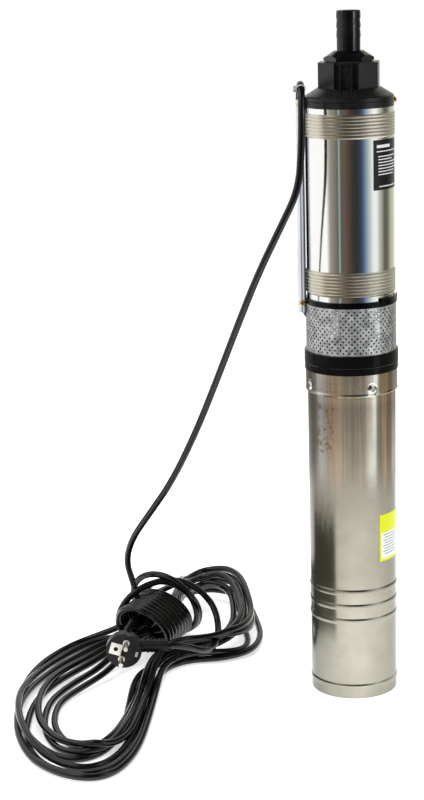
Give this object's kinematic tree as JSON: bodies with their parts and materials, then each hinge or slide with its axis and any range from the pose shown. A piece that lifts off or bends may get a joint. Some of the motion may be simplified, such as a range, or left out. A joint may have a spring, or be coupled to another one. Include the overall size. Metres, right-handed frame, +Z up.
{
  "type": "submersible borehole pump",
  "caption": "Slim multistage submersible borehole pump with stainless motor and pump tubes, suction strainer, cable guard, hose spigot and a hanked mains lead with plug.",
  "frame": {"origin": "centre of the flat base that the pump stands on, on the pump's axis", "axes": "+Z up along the shaft towards the hose spigot, -Y towards the viewer of the picture, -X towards the cable guard and the hank"},
  "size_m": [0.4217, 0.524, 0.7169],
  "materials": {
    "stainless_tube": "rolled stainless tube, bright with fine draw lines",
    "stainless_strip": "bright stainless strip",
    "stainless_screw": "stainless screws, plain",
    "strainer_metal": "dull pierced sheet",
    "black_plastic": "moulded, satin",
    "gloss_black_plastic": "moulded, semi-gloss",
    "brass": "turned, plain",
    "cast_aluminium": "die cast",
    "rubber": "moulded",
    "bearing_steel": "ground",
    "electrical_steel": "laminated stack",
    "copper_winding": null,
    "stainless_shaft": "turned and ground",
    "seal_ceramic": null,
    "capacitor_can": "drawn can",
    "stage_plastic": "moulded",
    "impeller_plastic": "moulded, natural",
    "spring_steel": "wound wire",
    "cord_rubber": "extruded sheath, semi-matt",
    "plug_rubber": "moulded",
    "plug_metal": "nickel plated",
    "nylon_tie": "natural nylon"
  },
  "bodies": {
    "pump": {"barb_washer": "rubber", "bearing_spider": "stage_plastic", "bottom_cap": "black_plastic", "bracket_screws": "stainless_screw", "bracket_seal_ring": "black_plastic", "cable_gland": "rubber", "cable_guard": "stainless_strip", "capacitor": "capacitor_can", "cord_clip": "nylon_tie", "cord_hank": "cord_rubber", "cord_tail": "cord_rubber", "discharge_head": "black_plastic", "guard_screws": "brass", "guarded_lead": "cord_rubber", "head_lock_screw": "brass", "hose_barb": "gloss_black_plastic", "housing_o_rings": "rubber", "inlet_bracket": "black_plastic", "lower_bearing_housing": "cast_aluminium", "lower_bearing_outer": "bearing_steel", "motor_flange": "cast_aluminium", "motor_tube": "stainless_tube", "oil_plug": "brass", "plug_body": "plug_rubber", "plug_contacts": "plug_metal", "power_cord": "cord_rubber", "pump_tube": "stainless_tube", "seal_seat": "seal_ceramic", "stage_1_bowl": "stage_plastic", "stage_2_bowl": "stage_plastic", "stage_3_bowl": "stage_plastic", "stage_4_bowl": "stage_plastic", "stage_5_bowl": "stage_plastic", "stator_core": "electrical_steel", "stator_windings": "copper_winding", "strainer": "strainer_metal", "top_bush": "rubber", "tube_screws": "stainless_screw", "upper_bearing_outer": "bearing_steel", "valve_spring": "spring_steel"},
    "rotor": {"rotor_core": "electrical_steel", "motor_shaft": "stainless_shaft", "upper_bearing_inner": "bearing_steel", "lower_bearing_inner": "bearing_steel", "shaft_seal": "rubber", "shaft_coupling": "stainless_shaft", "pump_shaft": "stainless_shaft", "shaft_nut": "brass", "stage_1_impeller": "impeller_plastic", "stage_2_impeller": "impeller_plastic", "stage_3_impeller": "impeller_plastic", "stage_4_impeller": "impeller_plastic", "stage_5_impeller": "impeller_plastic"},
    "valve": {"check_valve": "stage_plastic", "valve_washer": "rubber"},
    "upper_balls": {"upper_bearing_balls": "bearing_steel"},
    "lower_balls": {"lower_bearing_balls": "bearing_steel"}
  },
  "joints": [
    {"name": "shaft_spin", "type": "hinge", "parent": "pump", "child": "rotor", "pos_m": [0, 0, 0.3], "axis": [0, 0, 1], "continuous": true},
    {"name": "upper_cage_spin", "type": "hinge", "parent": "pump", "child": "upper_balls", "pos_m": [0, 0, 0.302], "axis": [0, 0, 1], "continuous": true},
    {"name": "lower_cage_spin", "type": "hinge", "parent": "pump", "child": "lower_balls", "pos_m": [0, 0, 0.11], "axis": [0, 0, 1], "continuous": true},
    {"name": "valve_lift", "type": "slide", "parent": "pump", "child": "valve", "axis": [0, 0, 1], "range_m": [0, 0.006], "stiffness_N_per_m": 60, "deforming": ["valve_spring"]}
  ],
  "couplings": [
    {"joint": "upper_cage_spin", "follows": "shaft_spin", "ratio": 0.38},
    {"joint": "lower_cage_spin", "follows": "shaft_spin", "ratio": 0.38}
  ]
}
